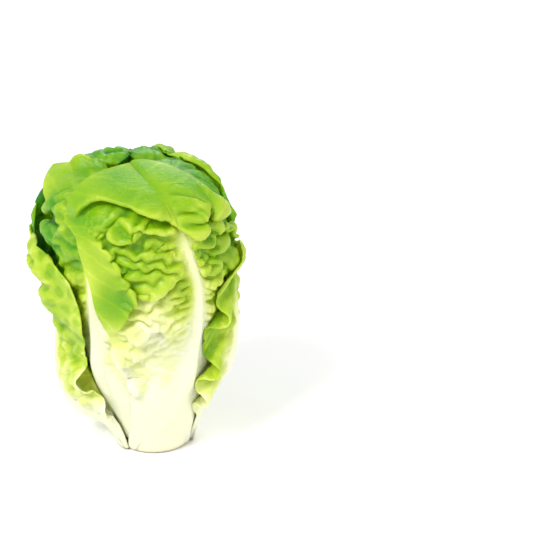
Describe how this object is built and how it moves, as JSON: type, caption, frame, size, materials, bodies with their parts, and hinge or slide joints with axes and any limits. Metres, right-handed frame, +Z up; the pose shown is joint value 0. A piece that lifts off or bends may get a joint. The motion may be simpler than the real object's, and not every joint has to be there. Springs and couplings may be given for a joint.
{
  "type": "little gem lettuce",
  "caption": "Small upright head of lettuce with ribbed, wavy-edged leaves wrapped in layers round a pale heart, standing on its flat cut stem.",
  "frame": {"origin": "middle of the cut face of the stem, on the surface that the head stands on", "axes": "+Z up through the head, -Y towards the front leaf that faces the viewer, +X to the viewer's right"},
  "size_m": [0.102, 0.1035, 0.1494],
  "materials": {
    "stem": "cream cut stem with a brownish rim, moist and slightly rough",
    "heart": "pale yellow heart leaves, soft and slightly glossy",
    "inner_leaf": "light green crinkled leaf, slightly glossy",
    "green_leaf": "deep green crinkled leaf with a paler rib, slightly glossy",
    "front_leaf": "fresh green leaf that fades to white at the stalk, white rib, crinkled and slightly glossy",
    "outer_leaf": "pale green leaf with darker puckers, white stalk, slightly glossy"
  },
  "bodies": {
    "root": {"cut_stem": "stem", "heart_bud": "heart", "heart_leaf_1": "heart", "heart_leaf_2": "heart", "heart_leaf_3": "heart", "inner_leaf_back": "inner_leaf", "inner_leaf_front": "inner_leaf", "inner_leaf_left": "inner_leaf", "back_leaf": "green_leaf", "right_leaf": "green_leaf", "front_left_leaf": "green_leaf", "left_back_leaf": "green_leaf", "right_back_leaf": "green_leaf", "front_leaf": "front_leaf", "back_outer_leaf": "outer_leaf", "right_outer_leaf": "outer_leaf", "left_outer_leaf": "outer_leaf"}
  },
  "joints": []
}
